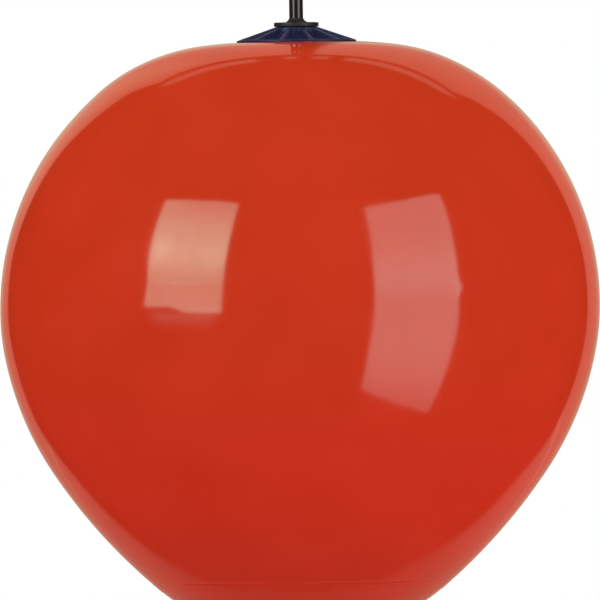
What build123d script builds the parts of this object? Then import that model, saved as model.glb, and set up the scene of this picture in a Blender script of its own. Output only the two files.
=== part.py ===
from build123d import *
from math import cos, radians, sin, sqrt
import os

# Inflatable mooring buoy: a hollow vinyl float on a central mooring rod.
# Millimetres, +Z up. The origin is the centre of the widest section, where the buoy floats.
# The rod turns freely in the float about Z.

# Float: one hollow vinyl moulding with its own tube wall round the rod's pipe
float_diameter = 690.0
float_wall = 4.0
mould_step = 0.6                # the heel lies this much inside the line of the flank
crown_margin = 7.0              # flat seat round the top end cone
heel_margin = 3.0               # flat seat round the bottom end cone

# Tangent arcs of the float's outline, from the widest section to the seat of an end cone.
# Columns: arc radius as a share of the float's radius, tangent's turn at the arc's end in degrees.
# One more arc reaches the seat at its own turn, with the radius that ends it there.
upper_arc_shares = ((0.948, 49.5), (0.659, 82.5))
flank_arc_shares = ((0.807, 10.1), (1.064, 33.9), (1.911, 50.0))
heel_arc_shares = ((0.500, 58.5),)
crown_turn = 87.5
heel_turn = 89.0

# End cones: ribbed plastic caps that spread the rod's load over the float's ends
cone_base_diameter = 138.0
cone_top_diameter = 47.0
cone_height = 17.5
cone_rim = 2.5
cone_rim_round = 1.0
hub_base_diameter = 104.0
hub_waist_shares = (0.25, 0.32)   # waist of the trumpet: shares of its run and of its rise
rib_count = 12
rib_thickness = 4.0
rib_first_angle = 15.0
spigot_length = 30.0
spigot_clearance = 0.3

# Centre tube: the plastic pipe that lines the float for the rod
tube_diameter = 32.0
tube_wall = 3.0
tube_clearance = 0.3

# Mooring rod with its forged top eye
rod_diameter = 16.0
rod_clearance = 0.5
eye_bore_diameter = 37.0
eye_rise = 64.0                 # centre of the top eye above the collar
eye_angle = 90.0                # the top eye's bore lies along this direction, in degrees from Y
eye_land_relief = 0.7           # depth of the flat land worn round the bore
neck_width = 26.0               # the rod swells to this width across the eye
neck_height = 6.0

# Collar welded to the rod, and the washer at the other end
collar_diameter = 52.0
collar_thickness = 5.0
washer_diameter = 52.0
washer_thickness = 4.0
weld_leg = 5.0
weld_fit = 0.1
running_gap = 0.3               # end play between the rod's plates and the end cones

# Nut and eye nut on the rod's threaded foot
nut_across_flats = 24.0
nut_height = 13.0
nut_chamfer = 1.5
thread_fit = 0.1
thread_relief = 1.0             # the rod stops this short of the blind hole's end
eye_nut_bore_diameter = 36.0
eye_nut_section = 14.0
eye_nut_drop = 32.0             # centre of its eye below the jam nut
eye_nut_land_relief = 0.6
eye_nut_hole_depth = 11.5
boss_face_height = 3.0
boss_face_diameter = 34.0
boss_neck_diameter = 25.0
boss_stop = 0.8                 # the boss ends this short of the eye's bore

# Inflation valve, let in flush at the back of the shoulder
valve_turn = 66.0               # turn of the outline where the valve sits, in degrees
valve_angle = 90.0              # direction from +X, in degrees
valve_diameter = 26.0
valve_depth = 11.0
valve_stand = 0.8               # the valve's face stands this proud of the float
valve_boss_wall = 5.0
valve_fit = 0.3
valve_edge_round = 0.6
screw_diameter = 12.0
screw_depth = 7.0
screw_fit = 0.2
screw_sink = 0.6
slot_width = 1.8
slot_depth = 1.6

# Worked out from the sizes above
float_radius = float_diameter / 2
cone_base_radius = cone_base_diameter / 2
tube_radius = tube_diameter / 2
rod_radius = rod_diameter / 2
float_bore = tube_radius + tube_clearance
cone_bore = rod_radius + rod_clearance


def tangent_arc(start, radius, end_turn, side):
    """An arc that goes on from a start (r, z, turn): (centre r, centre z, radius, from, to, side)."""
    r, z, turn = start
    return (r - radius * cos(turn), z - side * radius * sin(turn), radius, turn, end_turn, side)


def arc_point(arc, turn, inset=0):
    """The point (r, z) of an arc at a turn of the tangent, moved inwards by the inset."""
    centre_r, centre_z, radius, _, _, side = arc
    return (centre_r + (radius - inset) * cos(turn), centre_z + side * (radius - inset) * sin(turn))


def arc_run(start, arc_shares, side):
    """The arcs of a table, each tangent to the last, and where they end as (r, z, turn)."""
    arcs = []
    for radius_share, end_turn in arc_shares:
        arcs.append(tangent_arc(start, radius_share * float_radius, radians(end_turn), side))
        start = (*arc_point(arcs[-1], arcs[-1][4]), arcs[-1][4])
    return arcs, start


def seat_arc(start, last_turn, seat_radius, side):
    """The arc that goes on from a start and ends at the radius of a seat."""
    end = radians(last_turn)
    return tangent_arc(start, (start[0] - seat_radius) / (cos(start[2]) - cos(end)), end, side)


upper_arcs, shoulder_end = arc_run((float_radius, 0, 0), upper_arc_shares, 1)
upper_arcs.append(seat_arc(shoulder_end, crown_turn, cone_base_radius + crown_margin, 1))
flank_arcs, flank_end = arc_run((float_radius, 0, 0), flank_arc_shares, -1)
heel_arcs, heel_end = arc_run(flank_end, heel_arc_shares, -1)
heel_arcs.append(seat_arc(heel_end, heel_turn, cone_base_radius + heel_margin, -1))
crown_z = arc_point(upper_arcs[-1], upper_arcs[-1][4])[1]
heel_z = arc_point(heel_arcs[-1], heel_arcs[-1][4], mould_step)[1]

cone_top_z = crown_z + cone_height
collar_z = cone_top_z + running_gap
collar_top_z = collar_z + collar_thickness
eye_z = collar_top_z + eye_rise
cone_foot_z = heel_z - cone_height
washer_z = cone_foot_z - running_gap - washer_thickness
nut_z = washer_z - nut_height
eye_nut_z = nut_z - eye_nut_drop
rod_foot_z = nut_z - eye_nut_hole_depth + thread_relief


def arc_edge(arc, inset):
    """One arc of the outline as an edge in the XZ plane."""
    turns = (arc[3], (arc[3] + arc[4]) / 2, arc[4])
    return ThreePointArc(*[(r, 0, z) for r, z in (arc_point(arc, turn, inset) for turn in turns)])


def turned(edges):
    """The solid that a closed outline in the XZ plane sweeps about Z."""
    return revolve(make_face(edges), Axis.Z, 360)


def line(start, end):
    """A straight edge of an outline, between two (r, z) points in the XZ plane."""
    return Line((start[0], 0, start[1]), (end[0], 0, end[1]))


def polygon(points):
    """The closed outline through (r, z) points in the XZ plane."""
    return [line(a, b) for a, b in zip(points, points[1:] + points[:1])]


def float_form(inset):
    """The float's whole form, or the air space inside it when the outline is inset by the wall."""
    bore, depth = float_bore + inset, mould_step + inset
    edges = [arc_edge(arc, inset) for arc in upper_arcs + flank_arcs]
    edges += [arc_edge(arc, depth) for arc in heel_arcs]
    flank, heel = flank_arcs[-1], heel_arcs[0]
    edges.append(line(arc_point(flank, flank[4], inset), arc_point(heel, heel[3], depth)))
    crown = arc_point(upper_arcs[-1], upper_arcs[-1][4], inset)
    foot = arc_point(heel_arcs[-1], heel_arcs[-1][4], depth)
    edges.append(line(crown, (bore, crown[1])))
    edges.append(line((bore, crown[1]), (bore, foot[1])))
    edges.append(line((bore, foot[1]), foot))
    return turned(edges)


def valve_place():
    """The plane on the shoulder that the valve's face lies in, with its normal outwards."""
    arc, turn, angle = upper_arcs[1], radians(valve_turn), radians(valve_angle)
    r, z = arc_point(arc, turn)
    return Plane(
        origin=(r * cos(angle), r * sin(angle), z),
        x_dir=(-sin(angle), cos(angle), 0),
        z_dir=(cos(turn) * cos(angle), cos(turn) * sin(angle), sin(turn)),
    )


def drum(radius, low, high):
    """A round block about Z between two heights."""
    return Pos(0, 0, low) * Cylinder(radius, high - low, align=(Align.CENTER, Align.CENTER, Align.MIN))


def float_bladder():
    """Hollow float with a boss inside the wall for the valve."""
    boss_depth = valve_depth + valve_boss_wall
    boss = valve_place() * drum(valve_diameter / 2 + valve_boss_wall, -boss_depth, valve_stand)
    pocket = valve_place() * drum(valve_diameter / 2 + valve_fit, -valve_depth, valve_depth)
    air = float_form(float_wall) - boss
    return float_form(0) - air - pocket


def end_cone():
    """Ribbed end cone that stands on z = 0, with its spigot below."""
    top, hub, base = cone_top_diameter / 2, hub_base_diameter / 2, cone_base_radius
    run_share, rise_share = hub_waist_shares
    waist = (top + run_share * (hub - top), cone_rim + rise_share * (cone_height - cone_rim))
    spigot = tube_radius - tube_wall - spigot_clearance
    corners = [(hub, cone_rim), (base, cone_rim), (base, 0), (spigot, 0), (spigot, -spigot_length)]
    corners += [(cone_bore, -spigot_length), (cone_bore, cone_height), (top, cone_height)]
    edges = polygon(corners)[:-1]
    edges.append(ThreePointArc((top, 0, cone_height), (waist[0], 0, waist[1]), (hub, 0, cone_rim)))
    cone = turned(edges)
    rim = [e for e in cone.edges().filter_by(GeomType.CIRCLE) if abs(e.radius - base) < cone_rim]
    cone = fillet(max(rim, key=lambda e: e.center().Z), cone_rim_round)
    reach = sqrt(base**2 - rib_thickness**2 / 4) - cone_rim_round
    inside = (cone_bore + top) / 2
    web = polygon([(inside, 0), (reach, 0), (reach, cone_rim), (top, cone_height), (inside, cone_height)])
    rib = extrude(make_face(web), rib_thickness / 2, dir=(0, 1, 0), both=True)
    for k in range(rib_count):
        cone += Rot(0, 0, rib_first_angle + k * 360 / rib_count) * rib
    return cone


def centre_tube():
    """Pipe from seat to seat, that the end cones' spigots stand in."""
    return drum(tube_radius, heel_z, crown_z) - drum(tube_radius - tube_wall, heel_z, crown_z)


def valve_body():
    """Round valve insert with the screw's counterbore."""
    body = drum(valve_diameter / 2, -valve_depth, valve_stand)
    body = fillet(body.edges().sort_by(Axis.Z)[-1], valve_edge_round)
    hole = drum(screw_diameter / 2 + screw_fit, valve_stand - screw_sink - screw_depth, valve_depth)
    return valve_place() * (body - hole)


def valve_screw():
    """Slotted screw that closes the valve."""
    face = valve_stand - screw_sink
    screw = drum(screw_diameter / 2, face - screw_depth, face)
    slot = Pos(0, 0, face) * Box(screw_diameter * 2, slot_width, slot_depth * 2)
    return valve_place() * (screw - slot)


def ring_eye(bore_diameter, section, relief, height):
    """A ring about Y at a height, with a flat land of the bore's diameter round its inside."""
    bore = bore_diameter / 2
    turn = Pos(0, 0, height) * Rot(90, 0, 0)
    ring = Torus(bore + section / 2 - relief, section / 2)
    return turn * (ring - Cylinder(bore, section * 2))


def mooring_rod():
    """Round bar from the eye nut to the forged top eye."""
    ring_z = eye_z - eye_bore_diameter / 2 - rod_radius + eye_land_relief
    bar = drum(rod_radius, rod_foot_z, ring_z)
    foot = Pos(0, 0, ring_z - rod_radius) * Circle(rod_radius)
    head = Pos(0, 0, ring_z - rod_radius + neck_height) * Ellipse(neck_width / 2, rod_radius)
    eye = ring_eye(eye_bore_diameter, rod_diameter, eye_land_relief, eye_z)
    return bar + Rot(0, 0, eye_angle) * (loft([foot.face(), head.face()]) + eye)


def top_collar():
    """Round plate with the weld that holds it to the rod."""
    hole, toe = rod_radius + weld_fit, rod_radius + weld_leg
    top, crest = collar_top_z, collar_top_z + weld_leg
    hollow = (rod_radius + weld_leg * 0.42, collar_top_z + weld_leg * 0.42)
    corners = [(toe, top), (collar_diameter / 2, top), (collar_diameter / 2, collar_z)]
    corners += [(hole, collar_z), (hole, crest)]
    edges = polygon(corners)[:-1]
    edges.append(ThreePointArc((hole, 0, crest), (hollow[0], 0, hollow[1]), (toe, 0, top)))
    return turned(edges)


def bottom_washer():
    """Plain washer that spreads the nut's load on the bottom cone."""
    hole = drum(rod_radius + rod_clearance, washer_z, washer_z + washer_thickness)
    return drum(washer_diameter / 2, washer_z, washer_z + washer_thickness) - hole


def jam_nut():
    """Hexagon nut with both faces chamfered."""
    blank = extrude(RegularPolygon(nut_across_flats / 2, 6, major_radius=False), nut_height)
    corner = nut_across_flats / sqrt(3)
    cone = corner - nut_chamfer
    slope = [(0, 0), (cone, 0), (corner, nut_chamfer / 2), (corner, nut_height - nut_chamfer / 2)]
    slope += [(cone, nut_height), (0, nut_height)]
    nut = blank & turned(polygon(slope))
    return Pos(0, 0, nut_z) * (nut - drum(rod_radius + thread_fit, 0, nut_height))


def eye_nut():
    """Eye nut: a round boss that narrows to a ring."""
    eye = ring_eye(eye_nut_bore_diameter, eye_nut_section, eye_nut_land_relief, eye_nut_z)
    end_z = eye_nut_z + eye_nut_bore_diameter / 2 + boss_stop
    shoulder_z = nut_z - boss_face_height
    face, neck = boss_face_diameter / 2, boss_neck_diameter / 2
    boss = turned(polygon([(0, nut_z), (face, nut_z), (face, shoulder_z), (neck, end_z), (0, end_z)]))
    return eye + boss - drum(rod_radius + thread_fit, nut_z - eye_nut_hole_depth, nut_z)


pieces = {
    "float_bladder": float_bladder(),
    "top_end_cone": Pos(0, 0, crown_z) * end_cone(),
    "bottom_end_cone": Pos(0, 0, heel_z) * Rot(180, 0, 0) * end_cone(),
    "centre_tube": centre_tube(),
    "valve_body": valve_body(),
    "valve_screw": valve_screw(),
    "mooring_rod": mooring_rod(),
    "top_collar": top_collar(),
    "bottom_washer": bottom_washer(),
    "jam_nut": jam_nut(),
    "eye_nut": eye_nut(),
}

os.makedirs("parts", exist_ok=True)
for name, piece in pieces.items():
    export_step(piece, f"parts/{name}.step")

for name, height in (("crown", crown_z), ("heel", heel_z), ("top eye", eye_z), ("eye nut", eye_nut_z)):
    print(name, round(height, 2))
for name, bore, relief in (("top eye", rod_radius, eye_land_relief),
                           ("eye nut", eye_nut_section / 2, eye_nut_land_relief)):
    print(name, "land", round(2 * sqrt(bore**2 - (bore - relief) ** 2), 3))
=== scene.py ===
"""Looks of an inflatable mooring buoy: a glossy vinyl float on a mooring rod, with ribbed end cones.

Metres, +Z up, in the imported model's frame. The origin is the centre of the float's widest section.
Sizes written in millimetres carry MM, and directions are degrees round the buoy: azimuth 0 is
towards the viewer (-Y), 90 is the viewer's right (+X), and elevation is above the level.
"""

import logging
import math
from dataclasses import dataclass, field
from enum import Enum
from typing import Callable, Iterable, Sequence

import bpy
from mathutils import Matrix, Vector, noise

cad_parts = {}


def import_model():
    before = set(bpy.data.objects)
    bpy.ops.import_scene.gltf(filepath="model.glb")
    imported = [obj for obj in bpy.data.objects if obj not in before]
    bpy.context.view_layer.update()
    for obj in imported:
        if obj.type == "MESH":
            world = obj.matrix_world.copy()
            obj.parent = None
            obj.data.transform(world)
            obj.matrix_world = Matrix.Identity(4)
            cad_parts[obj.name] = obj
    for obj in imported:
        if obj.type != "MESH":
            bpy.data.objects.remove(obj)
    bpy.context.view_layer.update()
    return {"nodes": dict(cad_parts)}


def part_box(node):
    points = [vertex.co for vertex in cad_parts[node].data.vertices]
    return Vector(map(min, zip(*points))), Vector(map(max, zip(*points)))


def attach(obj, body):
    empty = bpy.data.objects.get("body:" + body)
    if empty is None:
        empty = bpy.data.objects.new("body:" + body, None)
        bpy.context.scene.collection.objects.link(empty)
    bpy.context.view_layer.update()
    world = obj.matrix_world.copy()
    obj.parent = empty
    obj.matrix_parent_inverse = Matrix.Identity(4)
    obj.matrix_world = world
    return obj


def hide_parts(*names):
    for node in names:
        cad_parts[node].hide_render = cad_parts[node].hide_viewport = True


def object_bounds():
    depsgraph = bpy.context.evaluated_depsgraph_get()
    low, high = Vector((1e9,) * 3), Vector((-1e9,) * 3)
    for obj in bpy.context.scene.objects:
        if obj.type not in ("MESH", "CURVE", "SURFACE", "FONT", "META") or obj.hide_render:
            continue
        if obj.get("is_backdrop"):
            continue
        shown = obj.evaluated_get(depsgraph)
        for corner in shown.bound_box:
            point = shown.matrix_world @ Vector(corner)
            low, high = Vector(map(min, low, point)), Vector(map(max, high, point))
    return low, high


MM = 0.001
LOG = logging.getLogger("buoy")

MERGE_DISTANCE = 0.002 * MM
WHITE = (1.0, 1.0, 1.0, 1.0)
# Noise values between which nearly all of a noise texture lies, and most of it
NOISE_SPREAD = (0.3, 0.7)
NOISE_MIDDLE = (0.35, 0.65)

Outline = list[tuple[float, float]]
Nodes = dict[str, bpy.types.Object]
Colour = tuple[float, float, float]


class End(Enum):
    """Which end of the float a piece sits on. The value is the side of the level plane."""

    TOP = 1
    BOTTOM = -1


class Seen(Enum):
    """Kinds of ray that a studio light answers, as outputs of the Light Path node."""

    CAMERA = "Is Camera Ray"
    MIRROR = "Is Glossy Ray"


def linear(code: str) -> tuple[float, float, float, float]:
    """Turn an sRGB hex colour into linear values.

    Args:
        code: Six hex digits, such as "C2301B".

    Returns:
        Linear red, green, blue and an alpha of one.
    """
    shares = [int(code[i : i + 2], 16) / 255 for i in (0, 2, 4)]
    red, green, blue = [s / 12.92 if s <= 0.04045 else ((s + 0.055) / 1.055) ** 2.4 for s in shares]
    return (red, green, blue, 1.0)


def aimed(azimuth: float, elevation: float) -> Vector:
    """Give the unit vector that points in a direction.

    Args:
        azimuth: Degrees from the viewer's side towards the viewer's right.
        elevation: Degrees above the level.

    Returns:
        The direction as a unit vector.
    """
    a, e = math.radians(azimuth), math.radians(elevation)
    return Vector((math.sin(a) * math.cos(e), -math.cos(a) * math.cos(e), math.sin(e)))


def eased(share: float) -> float:
    """Hold a share between 0 and 1, and ease it at both ends.

    Args:
        share: The share, which may lie outside 0 to 1.

    Returns:
        The eased share.
    """
    held = min(1.0, max(0.0, share))
    return held * held * (3 - 2 * held)


def arc(centre: tuple[float, float], radius: float, angles: Iterable[float]) -> Outline:
    """Give points of an outline that lie on an arc.

    Args:
        centre: The arc's centre as (radius, height).
        radius: The arc's own radius.
        angles: Degrees of the points: 0 points away from the axis, 90 upwards.

    Returns:
        The points, in the order of the angles.
    """
    r, z = centre
    turns = [math.radians(angle) for angle in angles]
    return [(r + radius * math.cos(turn), z + radius * math.sin(turn)) for turn in turns]


def add(
    tree: bpy.types.NodeTree, kind: str, inputs: dict | None = None, **settings: object,
) -> bpy.types.Node:
    """Add a node with its settings and links.

    Args:
        tree: The node tree that takes the node.
        kind: The node's type name.
        inputs: Socket name or index to a value, or to the output that feeds it.
        settings: Properties of the node itself.

    Returns:
        The new node.
    """
    made = tree.nodes.new(kind)
    for name, value in settings.items():
        setattr(made, name, value)
    for socket, value in (inputs or {}).items():
        if isinstance(value, bpy.types.NodeSocket):
            tree.links.new(value, made.inputs[socket])
        else:
            made.inputs[socket].default_value = value
    return made


def fill_ramp(ramp: bpy.types.ColorRamp, stops: Sequence[tuple[float, Sequence[float]]]) -> None:
    """Give a colour ramp its stops.

    Args:
        ramp: The ramp of a colour ramp node.
        stops: Position and linear colour of each stop, from left to right.
    """
    while len(ramp.elements) > len(stops):
        ramp.elements.remove(ramp.elements[-1])
    while len(ramp.elements) < len(stops):
        ramp.elements.new(0.5)
    for element, (position, colour) in zip(ramp.elements, stops):
        element.position, element.color = position, colour


def fresh_tree(owner: bpy.types.Material | bpy.types.World) -> bpy.types.NodeTree:
    """Switch a material or world to nodes and empty its tree.

    Args:
        owner: The material or world.

    Returns:
        Its empty node tree.
    """
    owner.use_nodes = True
    owner.node_tree.nodes.clear()
    return owner.node_tree


def choose(piece: bpy.types.Object) -> bpy.types.Object:
    """Make one object the only one selected, and the active one.

    Args:
        piece: The object to work on.

    Returns:
        The same object.
    """
    bpy.ops.object.select_all(action="DESELECT")
    piece.select_set(True)
    bpy.context.view_layer.objects.active = piece
    return piece


def turned(name: str, outline: Outline, steps: int) -> bpy.types.Object:
    """Turn an outline about Z, as on a lathe.

    Args:
        name: Name of the new piece.
        outline: Points (radius, height). A last point equal to the first closes the ring.
        steps: Steps round the axis.

    Returns:
        The new piece, its doubles merged and its normals outwards.
    """
    bpy.ops.object.select_all(action="DESELECT")
    radius, height = outline[0]
    bpy.ops.mesh.primitive_plane_add(size=MM, location=(radius, 0, height))
    piece = bpy.context.object
    piece.name = piece.data.name = name
    bpy.ops.object.transform_apply(location=True)
    bpy.ops.object.mode_set(mode="EDIT")
    bpy.ops.mesh.select_all(action="SELECT")
    bpy.ops.mesh.merge(type="CENTER")
    for (r0, z0), (r1, z1) in zip(outline, outline[1:]):
        bpy.ops.mesh.extrude_vertices_move(TRANSFORM_OT_translate={"value": (r1 - r0, 0, z1 - z0)})
    bpy.ops.mesh.select_all(action="SELECT")
    bpy.ops.mesh.spin(steps=steps, angle=math.tau, center=(0, 0, 0), axis=(0, 0, 1))
    bpy.ops.mesh.select_all(action="SELECT")
    bpy.ops.mesh.remove_doubles(threshold=MERGE_DISTANCE)
    bpy.ops.mesh.normals_make_consistent(inside=False)
    bpy.ops.object.mode_set(mode="OBJECT")
    return piece


def copied(piece: bpy.types.Object) -> bpy.types.Object:
    """Copy a piece, with a mesh of its own.

    Args:
        piece: The piece to copy.

    Returns:
        The copy.
    """
    twin = piece.copy()
    twin.data = piece.data.copy()
    bpy.context.collection.objects.link(twin)
    return twin


def modified(piece: bpy.types.Object, kind: str, **settings: object) -> bpy.types.Object:
    """Put a modifier on a piece and apply it.

    Args:
        piece: The piece to change.
        kind: The modifier's type name.
        settings: Properties of the modifier.

    Returns:
        The same piece.
    """
    choose(piece)
    modifier = piece.modifiers.new(kind.title(), kind)
    for name, value in settings.items():
        setattr(modifier, name, value)
    bpy.ops.object.modifier_apply(modifier=modifier.name)
    return piece


def joined(first: bpy.types.Object, *others: bpy.types.Object) -> bpy.types.Object:
    """Join pieces into the first one.

    Args:
        first: The piece that stays.
        others: The pieces that become part of it.

    Returns:
        The joined piece.
    """
    choose(first)
    for other in others:
        other.select_set(True)
    bpy.ops.object.join()
    return first


def reshaped(piece: bpy.types.Object, move: Callable[[Vector], Vector]) -> bpy.types.Object:
    """Move each vertex of a piece, as a sculpting brush would.

    Args:
        piece: The piece to change.
        move: Gives a vertex's new place from its old one.

    Returns:
        The same piece.
    """
    for vertex in piece.data.vertices:
        vertex.co = move(vertex.co)
    piece.data.update()
    return piece


def smooth_shaded(piece: bpy.types.Object, angle: float) -> bpy.types.Object:
    """Shade a piece smooth, and keep the edges sharper than an angle.

    Args:
        piece: The piece to shade.
        angle: Degrees between two faces, above which their edge stays sharp.

    Returns:
        The same piece.
    """
    choose(piece)
    bpy.ops.object.shade_smooth_by_angle(angle=math.radians(angle))
    return piece


def dressed(piece: bpy.types.Object, material: bpy.types.Material) -> bpy.types.Object:
    """Give a piece one material all over.

    Args:
        piece: The piece or CAD node to dress.
        material: Its material.

    Returns:
        The same piece.
    """
    if not piece.material_slots:
        piece.data.materials.append(material)
    for slot in piece.material_slots:
        slot.material = material
    return piece


def settled(piece: bpy.types.Object, body: str, node: str) -> None:
    """Hang a piece on its body, and hide the CAD node that it stands for.

    Args:
        piece: The finished piece.
        body: The CAD body that it moves with.
        node: The CAD node that it replaces.
    """
    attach(piece, body)
    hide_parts(node)
    LOG.info("%s: %d faces, rides on %s", piece.name, len(piece.data.polygons), body)


def renewed(nodes: Nodes, names: Iterable[str], material: bpy.types.Material) -> None:
    """Give a better material to CAD nodes whose shape is right.

    Args:
        nodes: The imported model's nodes by name.
        names: Names of the nodes to dress.
        material: Their material.
    """
    for name in names:
        dressed(nodes[name], material)
        LOG.info("%s: CAD shape in %s", name, material.name)


@dataclass(frozen=True)
class Grain:
    """A pattern of soft bumps that a mould, a roller or a brush leaves in a surface."""

    size: float
    height: float
    detail: float = 3.0
    roughness: float = 0.5

    def bump(self, tree: bpy.types.NodeTree, place: bpy.types.NodeSocket) -> bpy.types.NodeSocket:
        """Build the bump.

        Args:
            tree: The material's node tree.
            place: Object coordinates in metres.

        Returns:
            The bumped normal.
        """
        grain = add(
            tree, "ShaderNodeTexNoise",
            {"Vector": place, "Scale": 1 / self.size,
             "Detail": self.detail, "Roughness": self.roughness},
        )
        return add(
            tree, "ShaderNodeBump",
            {"Height": grain.outputs["Fac"], "Strength": 1.0, "Distance": self.height},
        ).outputs["Normal"]


@dataclass(frozen=True)
class RotomouldedVinyl:
    """Plasticised PVC from a polished rotational mould: a wet gloss on slow waves left by the mould.

    The colour is a little more orange above and redder below, with painted light in its brightness by
    height:
    the flank and crown are lightened to lift painted shade low down and to light the crown. A painted
    rim light makes it brighter where the skin turns away from the eye. The gloss is sharp enough to
    mirror a softbox with edges that only just blur.
    A mirror level of 1.0 doubles what the IOR mirrors, which is as much as the photograph shows.
    """

    name: str = "rotomoulded_vinyl"
    # Base colour by height, partly painted light: the flank and crown stops are lighter to lift the
    # shade below the girth and to light the crown, and the hue turns more orange upwards
    height_tones_with_painted_light: Sequence[tuple[float, str]] = (
        (-330 * MM, "C8331F"), (-215 * MM, "CE301B"), (-40 * MM, "CA3317"), (260 * MM, "CE3818"),
    )
    mottle_size: float = 90 * MM
    mottle_detail: float = 2.0
    mottle_depth: float = 0.035
    gloss: float = 0.07
    dull: float = 0.10
    # Painted rim light: where the base colour starts to brighten towards the outline, and by how much
    painted_rim_start: float = 0.35
    painted_rim_light: float = 1.20
    ior: float = 1.6
    mirror: float = 1.0
    peel: Grain = Grain(7 * MM, 0.004 * MM)

    def build(self) -> bpy.types.Material:
        """Build the material.

        Returns:
            The float's vinyl.
        """
        material = bpy.data.materials.new(self.name)
        tree = fresh_tree(material)
        place = add(tree, "ShaderNodeTexCoord").outputs["Object"]
        # Colour by height, which carries painted light on the flank and the crown
        height = add(tree, "ShaderNodeSeparateXYZ", {"Vector": place}).outputs["Z"]
        low, high = self.height_tones_with_painted_light[0][0], self.height_tones_with_painted_light[-1][0]
        share = add(tree, "ShaderNodeMapRange", {"Value": height, "From Min": low, "From Max": high})
        colour = add(tree, "ShaderNodeValToRGB", {"Fac": share.outputs[0]})
        colour.color_ramp.interpolation = "EASE"
        stops = [((mark - low) / (high - low), linear(code)) for mark, code in self.height_tones_with_painted_light]
        fill_ramp(colour.color_ramp, stops)
        cloud = add(
            tree, "ShaderNodeTexNoise",
            {"Vector": place, "Scale": 1 / self.mottle_size, "Detail": self.mottle_detail},
        )
        light = add(
            tree, "ShaderNodeMapRange",
            {"Value": cloud.outputs["Fac"], "From Min": NOISE_SPREAD[0], "From Max": NOISE_SPREAD[1],
             "To Min": 1 - self.mottle_depth, "To Max": 1 + self.mottle_depth},
        )
        # Painted rim light: the base colour grows brighter where the skin turns away from the eye, on
        # top of the random mottle
        facing = add(tree, "ShaderNodeLayerWeight", {"Blend": 0.5}).outputs["Facing"]
        glow = add(
            tree, "ShaderNodeMapRange",
            {"Value": facing, "From Min": self.painted_rim_start, "From Max": 1.0,
             "To Min": 1.0, "To Max": self.painted_rim_light},
        )
        value = add(
            tree, "ShaderNodeMath", {0: light.outputs[0], 1: glow.outputs[0]}, operation="MULTIPLY",
        )
        mottle_and_painted_rim_light = add(
            tree, "ShaderNodeHueSaturation",
            {"Value": value.outputs[0], "Color": colour.outputs["Color"]},
        )
        rough = add(
            tree, "ShaderNodeMapRange",
            {"Value": cloud.outputs["Fac"], "From Min": NOISE_MIDDLE[0], "From Max": NOISE_MIDDLE[1],
             "To Min": self.gloss, "To Max": self.dull},
        )
        shader = add(
            tree, "ShaderNodeBsdfPrincipled",
            {"Base Color": mottle_and_painted_rim_light.outputs[0], "Roughness": rough.outputs[0], "IOR": self.ior,
             "Specular IOR Level": self.mirror, "Normal": self.peel.bump(tree, place)},
        )
        add(tree, "ShaderNodeOutputMaterial", {"Surface": shader.outputs[0]})
        return material


@dataclass(frozen=True)
class Moulding:
    """A plastic, or a paint, whose surface carries a fine grain and a slight unevenness of tone."""

    name: str
    low: str
    high: str
    tone_size: float
    gloss: float
    dull: float
    grain: Grain
    tone_detail: float = 4.0
    tone_roughness: float = 0.6
    ior: float = 1.6
    mirror: float = 1.0
    sheen: str = "FFFFFF"

    def build(self) -> bpy.types.Material:
        """Build the material.

        Returns:
            The moulded or painted finish.
        """
        material = bpy.data.materials.new(self.name)
        tree = fresh_tree(material)
        place = add(tree, "ShaderNodeTexCoord").outputs["Object"]
        tone = add(
            tree, "ShaderNodeTexNoise",
            {"Vector": place, "Scale": 1 / self.tone_size,
             "Detail": self.tone_detail, "Roughness": self.tone_roughness},
        )
        colour = add(tree, "ShaderNodeValToRGB", {"Fac": tone.outputs["Fac"]})
        fill_ramp(colour.color_ramp, list(zip(NOISE_MIDDLE, (linear(self.low), linear(self.high)))))
        rough = add(
            tree, "ShaderNodeMapRange",
            {"Value": tone.outputs["Fac"], "From Min": NOISE_MIDDLE[0], "From Max": NOISE_MIDDLE[1],
             "To Min": self.gloss, "To Max": self.dull},
        )
        shader = add(
            tree, "ShaderNodeBsdfPrincipled",
            {"Base Color": colour.outputs["Color"], "Roughness": rough.outputs[0], "IOR": self.ior,
             "Specular Tint": linear(self.sheen), "Specular IOR Level": self.mirror,
             "Normal": self.grain.bump(tree, place)},
        )
        add(tree, "ShaderNodeOutputMaterial", {"Surface": shader.outputs[0]})
        return material


# Injection-moulded polypropylene in navy: a satin skin, finely grained by the mould's spark-eroded face
NAVY_POLYPROPYLENE = Moulding(
    "navy_polypropylene", low="282A48", high="323558", tone_size=14 * MM,
    gloss=0.34, dull=0.44, grain=Grain(0.9 * MM, 0.02 * MM), sheen="B4C0FF",
)
# Extruded polyethylene pipe in its own milky white: waxy, with a faint drag of the die
NATURAL_POLYETHYLENE = Moulding(
    "natural_polyethylene", low="D6D6D0", high="DEDED8", tone_size=20 * MM,
    gloss=0.42, dull=0.5, grain=Grain(2 * MM, 0.02 * MM),
)
# Machined and tumbled black acetal: dense and dull black
BLACK_ACETAL = Moulding(
    "black_acetal", low="131315", high="1A1A1C", tone_size=5 * MM,
    gloss=0.32, dull=0.45, grain=Grain(0.7 * MM, 0.015 * MM),
)
# Black brushed enamel over a hot-forged bar: wet gloss that follows the bar's slow unevenness
BLACK_ENAMEL = Moulding(
    "black_enamel", low="25211D", high="2C2823", tone_size=12 * MM,
    gloss=0.06, dull=0.10, grain=Grain(5 * MM, 0.015 * MM), ior=1.85, sheen="FFD9EA",
)
# The same enamel, thin over a flame-cut plate and its weld: browner and duller
THIN_ENAMEL = Moulding(
    "thin_enamel", low="24211B", high="302C24", tone_size=6 * MM,
    gloss=0.40, dull=0.55, grain=Grain(2.5 * MM, 0.08 * MM), sheen="FFD9EA",
)


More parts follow.
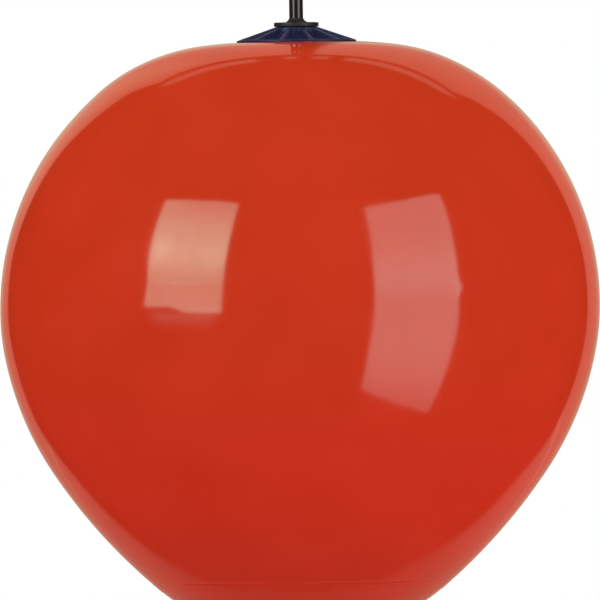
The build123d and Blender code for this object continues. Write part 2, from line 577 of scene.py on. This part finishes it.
@dataclass
class Float:
    """The vinyl bladder that keeps the buoy up, with its centre pipe and the valve at its back."""

    nodes: Nodes
    body: str = "float"
    steps: int = 288
    span: float = 5 * MM
    # The outline is drawn finer between these heights, where the seam and the mould's step lie
    fine_span: float = 0.5 * MM
    fine_from: float = -330 * MM
    fine_to: float = -308 * MM
    mould_step: float = 0.35 * MM
    crown_margin: float = 7 * MM
    heel_margin: float = 3 * MM
    cone_base_radius: float = 69 * MM
    tube_clearance: float = 0.3 * MM
    # Tangent arcs of the outline: share of the float's radius, tangent's turn at the arc's end
    upper_arcs: Sequence[tuple[float, float]] = ((0.948, 49.5), (0.659, 82.5))
    flank_arcs: Sequence[tuple[float, float]] = ((0.807, 10.1), (1.064, 33.9), (1.911, 50.0))
    heel_arcs: Sequence[tuple[float, float]] = ((0.500, 58.5),)
    crown_turn: float = 87.5
    heel_turn: float = 89.0
    seam_height: float = -315 * MM
    seam_half_width: float = 1.1 * MM
    seam_depth: float = 0.18 * MM
    wave_size: float = 0.11
    wave_depth: float = 0.40 * MM
    lean: float = 0.37
    lean_from: float = 30 * MM
    lean_full: float = 110 * MM
    slump: float = -1.7 * MM
    slump_height: float = 275 * MM
    slump_span: float = 28 * MM
    valve_turn: float = 66.0
    pocket_radius: float = 13.3 * MM
    pocket_depth: float = 11 * MM
    pocket_lip: float = 1.2 * MM
    cutter_reach: float = 6 * MM
    cutter_steps: int = 96
    sharp_angle: float = 20.0
    radius: float = field(init=False)
    bore: float = field(init=False)

    def __post_init__(self) -> None:
        """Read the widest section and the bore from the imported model."""
        self.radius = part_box("float_bladder")[1].x
        self.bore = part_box("centre_tube")[1].x + self.tube_clearance

    def side_points(
        self, arcs: Sequence[tuple[float, float]], end_turn: float, seat: float, side: End,
    ) -> list[tuple[float, float, float]]:
        """Walk one side of the outline from the widest section to its seat.

        Args:
            arcs: Arc radius shares and end turns.
            end_turn: The tangent's turn at the seat, in degrees.
            seat: Radius of the seat.
            side: The end that the walk goes to.

        Returns:
            Points as (radius, height, turn).
        """
        points, r, z, turn = [(self.radius, 0.0, 0.0)], self.radius, 0.0, 0.0
        runs = [(share * self.radius, math.radians(end)) for share, end in arcs]
        for bend, end in [*runs, (None, math.radians(end_turn))]:
            if bend is None:
                bend = (r - seat) / (math.cos(turn) - math.cos(end))
            centre_r = r - bend * math.cos(turn)
            centre_z = z - side.value * bend * math.sin(turn)
            while turn < end:
                near_mark = side is End.BOTTOM and self.fine_from < z < self.fine_to
                turn = min(end, turn + (self.fine_span if near_mark else self.span) / bend)
                r = centre_r + bend * math.cos(turn)
                z = centre_z + side.value * bend * math.sin(turn)
                points.append((r, z, turn))
        return points

    def outline(self) -> Outline:
        """Draw the float's outline from the bore at the crown round to the bore at the heel.

        Returns:
            Closed outline of (radius, height) points.
        """
        top_seat = self.cone_base_radius + self.crown_margin
        foot_seat = self.cone_base_radius + self.heel_margin
        upper = self.side_points(self.upper_arcs, self.crown_turn, top_seat, End.TOP)
        lower_arcs = [*self.flank_arcs, *self.heel_arcs]
        lower = self.side_points(lower_arcs, self.heel_turn, foot_seat, End.BOTTOM)
        flank_end = math.radians(self.flank_arcs[-1][1])
        points = [(self.bore, upper[-1][1])] + [(r, z) for r, z, _ in reversed(upper)]
        for r, z, turn in lower[1:]:
            groove = self.seam_depth * math.exp(-(((z - self.seam_height) / self.seam_half_width) ** 2))
            rise = (turn - flank_end) * self.radius / (2 * self.seam_half_width) + 0.5
            inset = groove + self.mould_step * eased(rise)
            points.append((r - inset * math.cos(turn), z + inset * math.sin(turn)))
        points.append((self.bore, points[-1][1]))
        return points + points[:1]

    def valve_place(self) -> tuple[Vector, Vector]:
        """Give the middle of the valve's seat and the direction out of it.

        Returns:
            The place on the shoulder, and the outward normal.
        """
        arcs = [self.upper_arcs[0], (self.upper_arcs[1][0], self.valve_turn)]
        r, z, turn = self.radius, 0.0, 0.0
        for share, end in arcs:
            bend, end = share * self.radius, math.radians(end)
            r += bend * (math.cos(end) - math.cos(turn))
            z += bend * (math.sin(end) - math.sin(turn))
            turn = end
        return Vector((0, r, z)), Vector((0, math.cos(turn), math.sin(turn)))

    def cut_pocket(self, skin: bpy.types.Object) -> None:
        """Sink the valve's pocket into the back of the shoulder, with a rounded lip.

        Args:
            skin: The float's mesh.
        """
        middle, out = self.valve_place()
        lip_radius = self.pocket_radius + self.pocket_lip
        lip = arc((lip_radius, -self.pocket_lip), self.pocket_lip, range(180, 89, -15))
        outline = [(0, -self.pocket_depth), (self.pocket_radius, -self.pocket_depth), *lip]
        outline += [(lip_radius + self.cutter_reach / 2, self.cutter_reach), (0, self.cutter_reach)]
        cutter = turned("pocket_cutter", outline, self.cutter_steps)
        choose(cutter)
        cutter.rotation_euler = out.to_track_quat("Z", "Y").to_euler()
        cutter.location = middle
        bpy.ops.object.transform_apply(location=True, rotation=True)
        modified(skin, "BOOLEAN", operation="DIFFERENCE", object=cutter, solver="EXACT")
        bpy.data.objects.remove(cutter)

    def leaning(self, place: Vector) -> Vector:
        """Let the soft float lean a little on its rod, as the photograph shows it.

        Args:
            place: A vertex of the float.

        Returns:
            Its place in the leaning float. Round the pipe nothing moves.
        """
        reach = (math.hypot(place.x, place.y) - self.lean_from) / (self.lean_full - self.lean_from)
        sway = place.z * math.tan(math.radians(self.lean))
        sway += self.slump * math.exp(-(((place.z - self.slump_height) / self.slump_span) ** 2))
        return place + Vector((sway * eased(reach), 0, 0))

    def build(self) -> None:
        """Build the float's skin and dress the pipe and the valve."""
        vinyl = RotomouldedVinyl().build()
        skin = turned("float_skin", self.outline(), self.steps)
        waves = bpy.data.textures.new("mould_waves", "CLOUDS")
        waves.noise_scale = self.wave_size
        waves.noise_depth = 1
        modified(
            skin, "DISPLACE",
            texture=waves, strength=self.wave_depth, mid_level=1.0, texture_coords="LOCAL",
        )
        reshaped(skin, self.leaning)
        self.cut_pocket(skin)
        smooth_shaded(dressed(skin, vinyl), self.sharp_angle)
        settled(skin, self.body, "float_bladder")
        renewed(self.nodes, ["centre_tube"], NATURAL_POLYETHYLENE.build())
        renewed(self.nodes, ["valve_body", "valve_screw"], BLACK_ACETAL.build())


@dataclass
class EndCone:
    """A ribbed cap of moulded plastic that spreads the rod's load over one end of the float."""

    body: str = "float"
    rim: float = 2.5 * MM
    top_radius: float = 24.4 * MM
    hub_radius: float = 52 * MM
    # Middle of the trumpet's curve: shares of its way out and of its way up
    waist: tuple[float, float] = (0.25, 0.32)
    trumpet_steps: int = 12
    rib_count: int = 12
    rib_thickness: float = 5.2 * MM
    rib_first: float = 15.0
    rib_setback: float = 1 * MM
    spigot_length: float = 30 * MM
    spigot_radius: float = 12.7 * MM
    bore: float = 8.5 * MM
    voxel: float = 0.7 * MM
    smoothing: float = 0.5
    smoothing_rounds: int = 8
    kept_faces: float = 0.25
    sharp_angle: float = 45.0
    steps: int = 120
    base_radius: float = field(init=False)
    height: float = field(init=False)

    def __post_init__(self) -> None:
        """Read the cap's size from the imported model."""
        low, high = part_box("top_end_cone")
        self.base_radius = high.x
        self.height = high.z - low.z - self.spigot_length

    def hub(self) -> bpy.types.Object:
        """Turn the hub with its trumpet, rim, spigot and bore.

        Returns:
            The hub, standing on z = 0.
        """
        top, foot = Vector((self.top_radius, self.height)), Vector((self.hub_radius, self.rim))
        run, rise = self.waist
        middle = Vector((top.x + run * (foot.x - top.x), foot.y + rise * (top.y - foot.y)))
        control = 2 * middle - (top + foot) / 2
        trumpet = []
        for k in range(self.trumpet_steps + 1):
            t = k / self.trumpet_steps
            trumpet.append(tuple((1 - t) ** 2 * top + 2 * t * (1 - t) * control + t * t * foot))
        outline = [(self.bore, self.height), *trumpet]
        outline += [(self.base_radius, self.rim), (self.base_radius, 0)]
        outline += [(self.spigot_radius, 0), (self.spigot_radius, -self.spigot_length)]
        outline += [(self.bore, -self.spigot_length), (self.bore, self.height)]
        return turned("cone_hub", outline, self.steps)

    def rib(self) -> bpy.types.Object:
        """Cut one rib from a block, along the slope from the top to the rim.

        Returns:
            The rib, pointing along +X.
        """
        inner, outer = (self.bore + self.top_radius) / 2, self.base_radius - self.rib_setback
        bpy.ops.object.select_all(action="DESELECT")
        bpy.ops.mesh.primitive_cube_add(size=1, location=((inner + outer) / 2, 0, self.height / 2))
        rib = bpy.context.object
        rib.name = "cone_rib"
        rib.scale = (outer - inner, self.rib_thickness, self.height)
        bpy.ops.object.transform_apply(location=True, scale=True)
        slope = Vector((self.base_radius - self.top_radius, 0, self.rim - self.height))
        bpy.ops.object.mode_set(mode="EDIT")
        bpy.ops.mesh.select_all(action="SELECT")
        bpy.ops.mesh.bisect(
            plane_co=(self.top_radius, 0, self.height), plane_no=(-slope.z, 0, slope.x),
            use_fill=True, clear_outer=True,
        )
        bpy.ops.object.mode_set(mode="OBJECT")
        return rib

    def cap(self) -> bpy.types.Object:
        """Put hub and ribs together, and round every edge and root as the mould does.

        Returns:
            The cap, standing on z = 0.
        """
        first = self.rib()
        ribs = [first] + [copied(first) for _ in range(1, self.rib_count)]
        for k, rib in enumerate(ribs):
            rib.rotation_euler.z = math.radians(self.rib_first + k * 360 / self.rib_count)
        cap = joined(self.hub(), *ribs)
        modified(cap, "REMESH", mode="VOXEL", voxel_size=self.voxel, adaptivity=0.0)
        modified(cap, "SMOOTH", factor=self.smoothing, iterations=self.smoothing_rounds)
        modified(cap, "DECIMATE", ratio=self.kept_faces)
        return cap

    def build(self) -> None:
        """Build the cap and its copy, the lower one upside down."""
        plastic = NAVY_POLYPROPYLENE.build()
        upper = self.cap()
        caps = {End.TOP: upper, End.BOTTOM: copied(upper)}
        for end, node in ((End.TOP, "top_end_cone"), (End.BOTTOM, "bottom_end_cone")):
            low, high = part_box(node)
            cap = choose(caps[end])
            cap.name = cap.data.name = node.replace("end_cone", "ribbed_cap")
            if end is End.TOP:
                cap.location.z = low.z + self.spigot_length
            else:
                cap.rotation_euler.x = math.pi
                cap.location.z = high.z - self.spigot_length
            bpy.ops.object.transform_apply(location=True, rotation=True)
            smooth_shaded(dressed(cap, plastic), self.sharp_angle)
            settled(cap, self.body, node)


@dataclass
class MooringIron:
    """The enamelled steel that turns in the float: rod, welded collar, washer, nut and eye nut."""

    nodes: Nodes
    body: str = "mooring_iron"
    rod_radius: float = 8 * MM
    plate: float = 5 * MM
    edge_round: float = 1.1 * MM
    # The collar stays this far inside its packed size
    plate_margin: float = 0.3 * MM
    weld_leg: float = 5 * MM
    weld_fit: float = 0.1 * MM
    weld_steps: int = 8
    # Share of the bead's height that rises straight, the rest rises along a quarter ellipse
    weld_straight: float = 0.3
    # The ripples run from inside the hole's edge to beyond the toe, from just under the plate's top
    ripples_inset: float = 0.2 * MM
    ripples_reach: float = 1 * MM
    ripples_below: float = 0.1 * MM
    ripples: int = 22
    ripple_drift: int = 3
    ripple_depth: float = 0.3 * MM
    ripple_rise: float = 0.6
    lump_pace: float = 2.5
    lump_share: float = 1.2
    steps: int = 132
    sharp_angle: float = 40.0

    def collar(self) -> bpy.types.Object:
        """Turn the collar with the bead of its weld, and ripple the bead.

        Returns:
            The collar, in place.
        """
        low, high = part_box("top_collar")
        edge, foot, top = high.x - self.plate_margin, low.z, low.z + self.plate
        hole, toe = self.rod_radius + self.weld_fit, self.rod_radius + self.weld_leg
        soft = self.edge_round
        outline = [(hole, foot), (edge - soft, foot)]
        outline += arc((edge - soft, foot + soft), soft, (-60, -30, 0))
        outline += arc((edge - soft, top - soft), soft, (0, 30, 60, 90))
        bead = []
        for k in range(self.weld_steps + 1):
            t = k / self.weld_steps
            rise = self.weld_straight * t + (1 - self.weld_straight) * (1 - math.sqrt(1 - t * t))
            bead.append((toe + (hole - toe) * t, top + self.weld_leg * rise))
        piece = turned("welded_collar", [*outline, *bead, (hole, foot)], self.steps)

        def rippled(place: Vector) -> Vector:
            """Ripple the bead of the weld, and leave the plate and the hole's edge as they are.

            Args:
                place: A vertex of the turned collar.

            Returns:
                Its place in the rippled bead.
            """
            radius, angle = math.hypot(place.x, place.y), math.atan2(place.y, place.x)
            moved = place.copy()
            across = hole + self.ripples_inset < radius < toe + self.ripples_reach
            if across and place.z > top - self.ripples_below:
                drift = self.ripple_drift * math.sin(2 * angle)
                wave = 0.5 + 0.5 * math.sin(self.ripples * angle + drift)
                round_weld = Vector((math.cos(angle), math.sin(angle), 0))
                lump = noise.noise(round_weld * self.lump_pace)
                push = self.ripple_depth * (wave + self.lump_share * lump)
                moved.z += push * self.ripple_rise
                moved.x, moved.y = place.x * (1 + push / radius), place.y * (1 + push / radius)
            return moved

        return reshaped(piece, rippled)

    def build(self) -> None:
        """Build the collar and dress the rod and the fittings below."""
        enamel, thin = BLACK_ENAMEL.build(), THIN_ENAMEL.build()
        collar = smooth_shaded(dressed(self.collar(), thin), self.sharp_angle)
        settled(collar, self.body, "top_collar")
        renewed(self.nodes, ["mooring_rod"], enamel)
        renewed(self.nodes, ["bottom_washer", "jam_nut", "eye_nut"], thin)


@dataclass(frozen=True)
class Panel:
    """A lit surface of the studio that the gloss mirrors: a patch of the sky with straight sides.

    Its glow is a row of stops, (elevation, radiance), from its lowest to its highest elevation.
    Its corners form a convex patch, which a level line may cut off at level_top.
    """

    name: str
    corners: Sequence[tuple[float, float]]
    glow: Sequence[tuple[float, Colour]]
    blur: float = 0.006
    folds: float = 0.0
    level_top: float | None = None
    least_rise: float = 0.01
    fold_pace: tuple[float, float, float] = (26.0, 26.0, 4.0)
    fold_detail: float = 2.0

    def socket(
        self, tree: bpy.types.NodeTree, sight: bpy.types.NodeSocket, unit: float,
    ) -> bpy.types.NodeSocket:
        """Build the panel's light for a direction.

        Args:
            tree: The world's node tree.
            sight: The direction looked in.
            unit: Radiance that a ramp value of one stands for.

        Returns:
            The colour that the panel adds.
        """
        rises = [math.sin(math.radians(elevation)) for elevation, _ in self.glow]
        low, high = rises[0], max(rises[-1], rises[0] + self.least_rise)
        stops = [
            ((rise - low) / (high - low), (*[part / unit for part in colour], 1.0))
            for rise, (_, colour) in zip(rises, self.glow)
        ]
        level = add(tree, "ShaderNodeSeparateXYZ", {"Vector": sight}).outputs["Z"]
        share = add(tree, "ShaderNodeMapRange", {"Value": level, "From Min": low, "From Max": high})
        ramp = add(tree, "ShaderNodeValToRGB", {"Fac": share.outputs[0]})
        fill_ramp(ramp.color_ramp, stops)
        mask = self.mask(tree, sight)
        if self.folds:
            mask = self.folded(tree, sight, mask)
        lit = add(
            tree, "ShaderNodeVectorMath", {0: ramp.outputs["Color"], 1: mask}, operation="MULTIPLY",
        )
        return lit.outputs["Vector"]

    def mask(self, tree: bpy.types.NodeTree, sight: bpy.types.NodeSocket) -> bpy.types.NodeSocket:
        """Build the panel's outline: one inside it, zero outside, blurred at its sides.

        Args:
            tree: The world's node tree.
            sight: The direction looked in.

        Returns:
            The share of the panel's light that the direction gets.
        """
        rim = [aimed(*corner) for corner in self.corners]
        middle = sum(rim, Vector())
        sides = []
        for start, end in zip(rim, rim[1:] + rim[:1]):
            normal = end.cross(start).normalized()
            sides.append((normal if normal.dot(middle) > 0 else -normal, 0.0))
        if self.level_top is not None:
            sides.append((Vector((0, 0, -1)), -math.sin(math.radians(self.level_top))))
        mask = 1.0
        for normal, offset in sides:
            depth = add(tree, "ShaderNodeVectorMath", {0: sight, 1: normal}, operation="DOT_PRODUCT")
            inside = add(
                tree, "ShaderNodeMapRange",
                {"Value": depth.outputs["Value"],
                 "From Min": offset - self.blur, "From Max": offset + self.blur},
                interpolation_type="SMOOTHSTEP",
            )
            both = add(tree, "ShaderNodeMath", {0: inside.outputs[0], 1: mask}, operation="MULTIPLY")
            mask = both.outputs[0]
        return mask

    def folded(
        self, tree: bpy.types.NodeTree, sight: bpy.types.NodeSocket, mask: bpy.types.NodeSocket,
    ) -> bpy.types.NodeSocket:
        """Vary a mask with the upright folds of the softbox's cloth.

        Args:
            tree: The world's node tree.
            sight: The direction looked in.
            mask: The panel's outline.

        Returns:
            The outline with its folds.
        """
        drop = add(
            tree, "ShaderNodeVectorMath", {0: sight, 1: self.fold_pace}, operation="MULTIPLY",
        )
        cloth = add(
            tree, "ShaderNodeTexNoise",
            {"Vector": drop.outputs["Vector"], "Scale": 1.0, "Detail": self.fold_detail},
        )
        fold = add(
            tree, "ShaderNodeMapRange",
            {"Value": cloth.outputs["Fac"], "From Min": NOISE_SPREAD[0], "From Max": NOISE_SPREAD[1],
             "To Min": 1 - self.folds, "To Max": 1 + self.folds},
        )
        both = add(tree, "ShaderNodeMath", {0: fold.outputs[0], 1: mask}, operation="MULTIPLY")
        return both.outputs[0]


# What the two softboxes and the backdrop give off, from their lowest to their highest elevation
RIGHT_GLOW = (
    (-38.2, (0.451, 0.526, 0.489)), (-35.2, (0.489, 0.620, 0.564)), (-31.2, (0.564, 0.771, 0.714)),
    (-26.6, (0.64, 0.90, 0.83)), (-22.1, (0.68, 1.00, 0.90)), (-14.1, (0.73, 1.02, 0.96)),
    (-6.1, (0.68, 1.00, 0.90)), (2.3, (0.75, 1.05, 0.94)), (6.1, (0.79, 1.20, 1.13)),
    (11.6, (0.90, 1.35, 1.24)), (17.1, (0.79, 1.22, 1.09)), (21.1, (0.79, 1.11, 0.98)),
    (28.2, (0.71, 0.98, 0.90)), (36.2, (0.70, 0.94, 0.85)),
)
LEFT_GLOW = (
    (9.8, (1.02, 1.69, 1.24)), (12.5, (1.17, 1.92, 1.35)), (17.0, (1.43, 2.41, 1.73)),
    (21.2, (1.58, 2.63, 1.88)), (26.5, (1.35, 2.33, 1.73)), (30.5, (1.22, 2.14, 1.54)),
    (35.0, (1.02, 1.73, 1.24)), (40.4, (0.86, 1.24, 0.98)),
)
BACKDROP_GLOW = (
    (-15.0, (0.415, 0.227, 0.161)), (0.0, (0.520, 0.240, 0.170)), (10.0, (0.583, 0.272, 0.204)),
    (41.6, (0.475, 0.281, 0.187)),
)
OVERHEAD_GLOW = ((45.0, (0.289, 0.289, 0.207)),)


@dataclass(frozen=True)
class Lamp:
    """A round soft lamp that points at the buoy's middle. Neither the camera nor the gloss sees it."""

    name: str
    azimuth: float
    elevation: float
    energy: float
    distance: float = 3.0
    size: float = 1.8

    def hang(self) -> None:
        """Hang the lamp at its place."""
        bpy.ops.object.select_all(action="DESELECT")
        way = aimed(self.azimuth, self.elevation)
        bpy.ops.object.light_add(type="AREA", location=way * self.distance)
        lamp = bpy.context.object
        lamp.name = self.name
        lamp.rotation_euler = way.to_track_quat("Z", "Y").to_euler()
        lamp.data.shape = "DISK"
        lamp.data.size = self.size
        lamp.data.energy = self.energy
        lamp.visible_camera = False
        lamp.visible_glossy = False


@dataclass
class Studio:
    """Floor, lamps, camera and what the gloss mirrors."""

    camera_distance: float = 20.0
    frame_width: float = 0.6898
    camera_height: float = 8.05 * MM
    camera_roll: float = 0.78
    sensor: float = 36.0
    clip_end: float = 200.0
    floor_radius: float = 6.0
    floor_sides: int = 128
    floor_tone: str = "F5F4F2"
    fade_start: float = 0.9
    fade_end: float = 3.0
    # The floor gives a little more light from the right, up to this much at this distance
    floor_bounce: float = 0.25
    bounce_reach: float = 0.6
    sky: float = 0.97
    # What the gloss mirrors between the panels
    mirror_ambient: float = 0.006
    # Radiance that a ramp value of one stands for, because a ramp holds no more than one
    unit: float = 3.0
    lamps: Sequence[Lamp] = (
        Lamp("right_lamp", azimuth=48, elevation=-4, energy=6.5),
        Lamp("left_lamp", azimuth=-62, elevation=22, energy=8.6),
    )
    panels: Sequence[Panel] = (
        Panel(
            "right_softbox_top_left", ((30.4, 38.9), (50.3, 39.2), (49.0, 20.93), (29.3, 20.0)),
            RIGHT_GLOW, folds=0.04,
        ),
        Panel(
            "right_softbox_top_right", ((50.3, 39.2), (69.3, 38.1), (65.3, 20.0), (49.0, 20.93)),
            RIGHT_GLOW, folds=0.04,
        ),
        Panel(
            "right_softbox_middle", ((29.3, 20.0), (65.3, 20.0), (63.6, 5.0), (28.6, 5.0)),
            RIGHT_GLOW, folds=0.04,
        ),
        Panel(
            "right_softbox_foot", ((28.6, 5.0), (63.6, 5.0), (62.7, -38.7), (26.6, -34.3)),
            RIGHT_GLOW, folds=0.04,
        ),
        Panel(
            "right_softbox_hinge", ((63.4, 10.0), (65.9, 5.6), (62.8, 2.0)),
            ((0.0, (0.68, 1.02, 0.90)),), blur=0.005,
        ),
        Panel(
            "left_softbox_outer", ((-65.7, 38.6), (-48.0, 40.9), (-48.0, 9.4), (-61.4, 9.4)),
            LEFT_GLOW, folds=0.06,
        ),
        Panel(
            "left_softbox_inner", ((-48.0, 40.9), (-28.7, 41.8), (-29.9, 9.4), (-48.0, 9.4)),
            LEFT_GLOW, folds=0.06,
        ),
        Panel(
            "left_softbox_skirt", ((-61.5, 9.4), (-62.2, 1.2), (-30.3, 0.8), (-29.9, 9.4)),
            ((-2.2, (1.05, 1.55, 1.17)), (7.1, (1.09, 1.55, 1.13)), (9.4, (0.94, 1.47, 1.10))),
            folds=0.06,
        ),
        Panel(
            "left_softbox_hem", ((-51.5, 1.1), (-44.5, -1.1), (-30.3, -2.0), (-30.3, 0.8)),
            ((-2.0, (1.20, 1.99, 1.50)), (0.5, (1.05, 1.62, 1.24))),
        ),
        Panel(
            "left_softbox_lamp", ((-60.7, 25.0), (-54.7, 25.0), (-54.7, 17.0), (-60.7, 17.0)),
            ((20.0, (0.301, 0.602, 0.489)),), blur=0.05,
        ),
        Panel(
            "left_softbox_second_lamp", ((-38.5, 22.5), (-32.0, 22.5), (-32.0, 16.0), (-38.5, 16.0)),
            ((20.0, (0.094, 0.207, 0.169)),), blur=0.05,
        ),
        Panel(
            "left_softbox_spill", ((-60.0, 2.0), (-58.0, -6.0), (-34.0, -9.0), (-32.0, -1.0)),
            ((-9.0, (0.033, 0.096, 0.071)), (-3.0, (0.144, 0.352, 0.287)),
             (0.0, (0.064, 0.160, 0.128))),
            blur=0.06,
        ),
        Panel(
            "backdrop_left", ((205.8, 5.0), (209.2, 25.0), (208.6, 60.0), (180.2, 60.0), (180.2, 5.0)),
            BACKDROP_GLOW, blur=0.005, level_top=41.2,
        ),
        Panel(
            "backdrop_left_foot",
            ((205.8, 5.0), (180.2, 5.0), (180.2, -15.0), (208.6, -15.0), (208.6, -7.0)),
            BACKDROP_GLOW, blur=0.005,
        ),
        Panel(
            "backdrop_right",
            ((177.6, 46.0), (179.5, 5.0), (179.7, -15.0), (146.5, -15.0), (145.0, 60.0)),
            BACKDROP_GLOW, blur=0.005, level_top=41.2,
        ),
        Panel(
            "backdrop_left_flare", ((205.0, 8.0), (205.0, 60.0), (192.0, 60.0), (192.0, 8.0)),
            ((30.0, (0.02, 0.14, 0.08)),), blur=0.08, level_top=38.0,
        ),
        Panel(
            "backdrop_far", ((164.0, 12.0), (166.0, -12.0), (194.0, -12.0), (196.0, 12.0)),
            ((-12.0, (0.0, 0.03, 0.02)), (0.0, (0.01, 0.20, 0.12)), (12.0, (0.03, 0.30, 0.20))),
            blur=0.1,
        ),
        Panel(
            "overhead_left", ((213.0, 43.6), (213.0, 47.5), (187.5, 48.6), (187.0, 44.2)),
            OVERHEAD_GLOW, blur=0.012,
        ),
        Panel(
            "overhead_right", ((171.5, 43.6), (171.0, 48.2), (142.0, 46.0), (140.0, 42.0)),
            OVERHEAD_GLOW, blur=0.012,
        ),
        Panel(
            "overhead_middle", ((182.0, 44.0), (182.0, 48.0), (180.2, 48.0), (180.2, 44.0)),
            OVERHEAD_GLOW, blur=0.008,
        ),
        Panel(
            "overhead_corner", ((177.4, 44.0), (177.4, 48.0), (174.4, 48.0), (174.4, 44.0)),
            ((45.0, (0.248, 0.248, 0.179)),), blur=0.008,
        ),
        Panel(
            "backdrop_foot",
            ((210.0, -14.0), (148.0, -14.0), (134.0, -47.0), (130.0, -72.0), (230.0, -72.0),
             (222.0, -45.0)),
            ((-72.0, (0.109, 0.059, 0.049)), (-43.0, (0.198, 0.113, 0.092)),
             (-14.0, (0.399, 0.228, 0.171))),
            blur=0.03,
        ),
    )

    def floor(self) -> None:
        """Lay a pale floor under the lowest point, which turns white farther out."""
        bpy.ops.object.select_all(action="DESELECT")
        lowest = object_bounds()[0].z
        bpy.ops.mesh.primitive_circle_add(
            vertices=self.floor_sides, radius=self.floor_radius, fill_type="NGON",
        )
        floor = bpy.context.object
        floor.name = "floor"
        floor.location.z = lowest
        bpy.ops.object.transform_apply(location=True)
        material = bpy.data.materials.new("pale_floor")
        tree = fresh_tree(material)
        place = add(tree, "ShaderNodeTexCoord").outputs["Object"]
        level = add(tree, "ShaderNodeVectorMath", {0: place, 1: (1, 1, 0)}, operation="MULTIPLY")
        reach = add(tree, "ShaderNodeVectorMath", {0: level.outputs[0]}, operation="LENGTH")
        far = add(
            tree, "ShaderNodeMapRange",
            {"Value": reach.outputs["Value"], "From Min": self.fade_start, "From Max": self.fade_end},
            interpolation_type="SMOOTHSTEP",
        )
        camera = add(tree, "ShaderNodeLightPath").outputs[Seen.CAMERA.value]
        white = add(tree, "ShaderNodeMath", {0: far.outputs[0], 1: camera}, operation="MULTIPLY")
        paper = add(tree, "ShaderNodeBsdfDiffuse", {"Color": linear(self.floor_tone)})
        glow = add(tree, "ShaderNodeEmission", {"Color": WHITE, "Strength": 1.0})
        across = add(tree, "ShaderNodeSeparateXYZ", {"Vector": place}).outputs["X"]
        side = add(
            tree, "ShaderNodeMapRange",
            {"Value": across, "From Min": -self.bounce_reach, "From Max": self.bounce_reach,
             "To Min": 0.0, "To Max": self.floor_bounce},
        )
        unseen = add(tree, "ShaderNodeMath", {0: 1.0, 1: camera}, operation="SUBTRACT")
        bounce = add(
            tree, "ShaderNodeMath", {0: unseen.outputs[0], 1: side.outputs[0]}, operation="MULTIPLY",
        )
        lift = add(tree, "ShaderNodeEmission", {"Color": WHITE, "Strength": bounce.outputs[0]})
        lit = add(tree, "ShaderNodeAddShader", {0: paper.outputs[0], 1: lift.outputs[0]})
        mix = add(
            tree, "ShaderNodeMixShader", {0: white.outputs[0], 1: lit.outputs[0], 2: glow.outputs[0]},
        )
        add(tree, "ShaderNodeOutputMaterial", {"Surface": mix.outputs[0]})
        dressed(floor, material)
        floor.visible_glossy = False
        floor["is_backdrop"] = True

    def world(self) -> None:
        """Surround the buoy: white for the camera, soft light on it, the studio in its gloss."""
        world = bpy.data.worlds.new("studio")
        bpy.context.scene.world = world
        tree = fresh_tree(world)
        sight = add(tree, "ShaderNodeTexCoord").outputs["Generated"]
        ambient = self.mirror_ambient / self.unit
        total = add(tree, "ShaderNodeCombineXYZ", {0: ambient, 1: ambient, 2: ambient}).outputs[0]
        for panel in self.panels:
            lit = panel.socket(tree, sight, self.unit)
            total = add(tree, "ShaderNodeVectorMath", {0: total, 1: lit}, operation="ADD").outputs[0]
        path = add(tree, "ShaderNodeLightPath").outputs
        mirrored = add(tree, "ShaderNodeBackground", {"Color": total, "Strength": self.unit})
        soft = add(tree, "ShaderNodeBackground", {"Color": WHITE, "Strength": self.sky})
        white = add(tree, "ShaderNodeBackground", {"Color": WHITE, "Strength": 1.0})
        glossy = add(
            tree, "ShaderNodeMixShader",
            {0: path[Seen.MIRROR.value], 1: soft.outputs[0], 2: mirrored.outputs[0]},
        )
        seen = add(
            tree, "ShaderNodeMixShader",
            {0: path[Seen.CAMERA.value], 1: glossy.outputs[0], 2: white.outputs[0]},
        )
        add(tree, "ShaderNodeOutputWorld", {"Surface": seen.outputs[0]})

    def camera(self) -> None:
        """Set the camera level with the buoy's widest section, at the photograph's slight roll."""
        data = bpy.data.cameras.new("camera")
        data.sensor_width = self.sensor
        data.lens = self.sensor * self.camera_distance / self.frame_width
        data.clip_end = self.clip_end
        camera = bpy.data.objects.new("camera", data)
        bpy.context.scene.collection.objects.link(camera)
        camera.location = (0, -self.camera_distance, self.camera_height)
        camera.rotation_euler = (math.pi / 2, math.radians(self.camera_roll), 0)
        bpy.context.scene.camera = camera

    def build(self) -> None:
        """Set up floor, surroundings, lamps and camera."""
        bpy.context.scene.view_settings.view_transform = "Standard"
        self.floor()
        self.world()
        for lamp in self.lamps:
            lamp.hang()
        self.camera()


def corners(box: tuple[Vector, Vector]) -> list[list[float]]:
    """Turn a box's two corners into plain lists."""
    return [list(corner) for corner in box]


def main() -> None:
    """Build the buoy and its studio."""
    logging.basicConfig(level=logging.INFO, format="%(name)s: %(message)s")
    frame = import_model()
    nodes = frame["nodes"]
    for part in (Float(nodes), EndCone(), MooringIron(nodes)):
        part.build()
        LOG.info("%s built", type(part).__name__)
    Studio().build()


if __name__ == "__main__":
    main()
